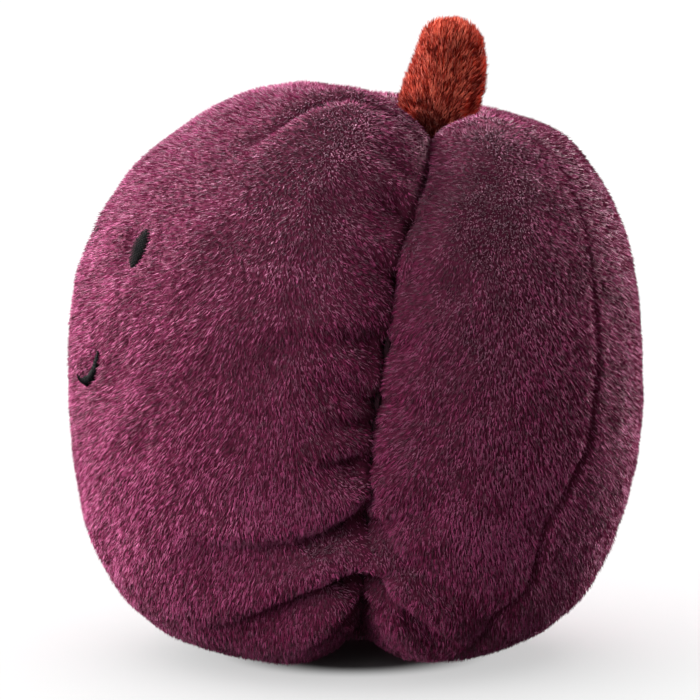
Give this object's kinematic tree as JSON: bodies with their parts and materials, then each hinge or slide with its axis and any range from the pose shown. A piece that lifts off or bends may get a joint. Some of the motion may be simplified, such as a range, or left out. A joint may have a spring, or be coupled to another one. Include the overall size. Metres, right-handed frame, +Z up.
{
  "type": "plush plum soft toy",
  "caption": "Palm-sized stuffed plum in short pile fabric with a deep gathered crease, a pile stem in the crown dimple and a simple stitched face.",
  "frame": {"origin": "centre of the footprint, on the surface that the toy stands on", "axes": "+Z up; the face looks along -Y; the crease is on the toy's own left side, towards +X"},
  "size_m": [0.0872, 0.0897, 0.0993],
  "materials": {
    "plum_pile": "short dense plush pile, soft sheen at grazing angles",
    "rust_pile": "short rust plush pile",
    "black_thread": "satin-stitched embroidery thread",
    "plum_thread": "plain sewing thread",
    "wadding": "loose fibre filling"
  },
  "bodies": {
    "root": {"front_panel": "plum_pile", "side_panel": "plum_pile", "back_panel": "plum_pile", "stem_cover": "rust_pile", "eye_left": "black_thread", "eye_right": "black_thread", "mouth": "black_thread", "crease_thread": "plum_thread", "draw_thread": "plum_thread", "base_knot": "plum_thread", "fibre_filling": "wadding", "stem_filling": "wadding"}
  },
  "joints": []
}
